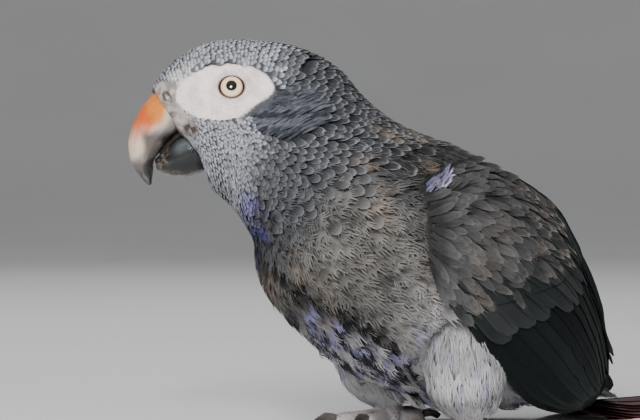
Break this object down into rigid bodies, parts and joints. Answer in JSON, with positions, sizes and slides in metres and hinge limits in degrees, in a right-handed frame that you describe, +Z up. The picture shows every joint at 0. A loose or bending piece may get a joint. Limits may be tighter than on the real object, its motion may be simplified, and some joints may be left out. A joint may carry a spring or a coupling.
{
  "type": "timneh grey parrot",
  "caption": "Life-size model of a grey parrot standing with folded wings, its head turned to one side and its short tail laid on the floor.",
  "frame": {"origin": "on the floor under the middle of the whole bird's bounding box", "axes": "-Y is the way the body faces, +X the bird's own left and +Z up; the head is turned 40 degrees to the bird's right"},
  "size_m": [0.0974, 0.2218, 0.1248],
  "materials": {
    "plumage_grey": "matt grey feathers",
    "head_grey": "matt pale grey feathers round a bare white face",
    "thigh_down": "matt whitish down",
    "covert_grey": "matt dark grey feathers, worn brown at their edges",
    "flight_feather": "satin charcoal feathers",
    "tail_maroon": "satin maroon feathers",
    "foot_skin": "matt scaled skin",
    "cere_skin": "matt bare skin",
    "claw_horn": "polished black horn",
    "upper_bill_horn": "satin horn, pinkish with a dark tip",
    "lower_bill_horn": "polished black horn",
    "eye_gloss": "wet gloss, pale iris round a black pupil"
  },
  "bodies": {
    "root": {"wing_coverts_left": "covert_grey", "secondaries_left": "flight_feather", "primaries_left": "flight_feather", "wing_coverts_right": "covert_grey", "secondaries_right": "flight_feather", "primaries_right": "flight_feather", "tail_feather_1_left": "tail_maroon", "tail_feather_1_right": "tail_maroon", "tail_feather_2_left": "tail_maroon", "tail_feather_2_right": "tail_maroon", "tail_feather_3_left": "tail_maroon", "tail_feather_3_right": "tail_maroon", "tail_feather_4_left": "tail_maroon", "tail_feather_4_right": "tail_maroon", "tail_feather_5_left": "tail_maroon", "tail_feather_5_right": "tail_maroon", "tail_feather_6_left": "tail_maroon", "tail_feather_6_right": "tail_maroon", "upper_bill": "upper_bill_horn", "lower_bill": "lower_bill_horn", "eye_left": "eye_gloss", "eye_right": "eye_gloss", "cere": "cere_skin", "head": "head_grey", "neck": "plumage_grey", "trunk": "plumage_grey", "tail_coverts": "flight_feather", "thigh_left": "thigh_down", "thigh_right": "thigh_down", "foot_left": "foot_skin", "foot_right": "foot_skin", "toe_outer_front_left": "foot_skin", "toe_outer_front_right": "foot_skin", "claw_outer_front_left": "claw_horn", "claw_outer_front_right": "claw_horn", "toe_inner_front_left": "foot_skin", "toe_inner_front_right": "foot_skin", "claw_inner_front_left": "claw_horn", "claw_inner_front_right": "claw_horn", "toe_outer_rear_left": "foot_skin", "toe_outer_rear_right": "foot_skin", "claw_outer_rear_left": "claw_horn", "claw_outer_rear_right": "claw_horn", "toe_inner_rear_left": "foot_skin", "toe_inner_rear_right": "foot_skin", "claw_inner_rear_left": "claw_horn", "claw_inner_rear_right": "claw_horn"}
  },
  "joints": []
}
